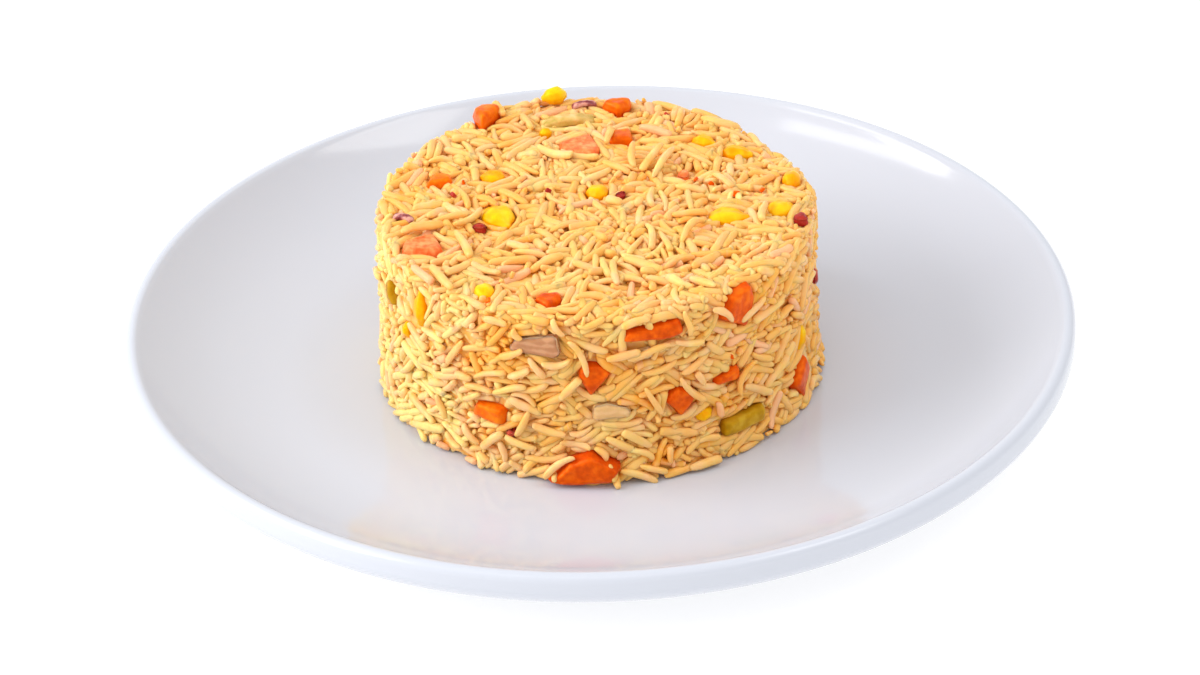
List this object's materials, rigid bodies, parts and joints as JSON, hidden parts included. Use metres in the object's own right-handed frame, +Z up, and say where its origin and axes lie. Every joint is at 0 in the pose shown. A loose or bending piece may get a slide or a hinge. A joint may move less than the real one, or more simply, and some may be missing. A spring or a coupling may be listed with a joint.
{
  "type": "plate of vegetable rice",
  "caption": "Short round of yellow rice with diced carrot, corn and onion, turned out of a mould onto a white coupe plate.",
  "frame": {"origin": "centre of the plate's foot ring, on the surface that the plate stands on", "axes": "+Z up through the round of rice; -Y towards the diner, who sees the side with the green bean at its lower right; +X to the diner's right"},
  "size_m": [0.266, 0.266, 0.066],
  "materials": {
    "plate": "glossy white glazed porcelain",
    "rice": "moist cooked rice, seasoned yellow, slightly translucent",
    "carrot": "boiled carrot, moist",
    "corn": "sweetcorn skin, moist and glossy",
    "green_bean": "boiled green bean, olive skin and pale cut face",
    "onion": "boiled onion, translucent",
    "red_onion": "boiled red onion",
    "red_pepper": "boiled red pepper, glossy skin"
  },
  "bodies": {
    "root": {"carrot_01": "carrot", "carrot_02": "carrot", "carrot_03": "carrot", "carrot_04": "carrot", "carrot_05": "carrot", "carrot_06": "carrot", "carrot_07": "carrot", "carrot_08": "carrot", "carrot_09": "carrot", "carrot_10": "carrot", "carrot_11": "carrot", "carrot_12": "carrot", "carrot_13": "carrot", "carrot_14": "carrot", "carrot_15": "carrot", "carrot_16": "carrot", "carrot_17": "carrot", "carrot_18": "carrot", "carrot_19": "carrot", "carrot_20": "carrot", "corn_01": "corn", "corn_02": "corn", "corn_03": "corn", "corn_04": "corn", "corn_05": "corn", "corn_06": "corn", "corn_07": "corn", "corn_08": "corn", "corn_09": "corn", "corn_10": "corn", "corn_11": "corn", "corn_12": "corn", "corn_13": "corn", "corn_14": "corn", "corn_15": "corn", "corn_16": "corn", "corn_17": "corn", "green_bean_01": "green_bean", "green_bean_02": "green_bean", "green_bean_03": "green_bean", "green_bean_04": "green_bean", "onion_01": "onion", "onion_02": "onion", "onion_03": "onion", "onion_04": "onion", "plate": "plate", "red_onion_01": "red_onion", "red_onion_02": "red_onion", "red_pepper_01": "red_pepper", "red_pepper_02": "red_pepper", "red_pepper_03": "red_pepper", "red_pepper_04": "red_pepper", "red_pepper_05": "red_pepper", "rice": "rice"}
  },
  "joints": []
}
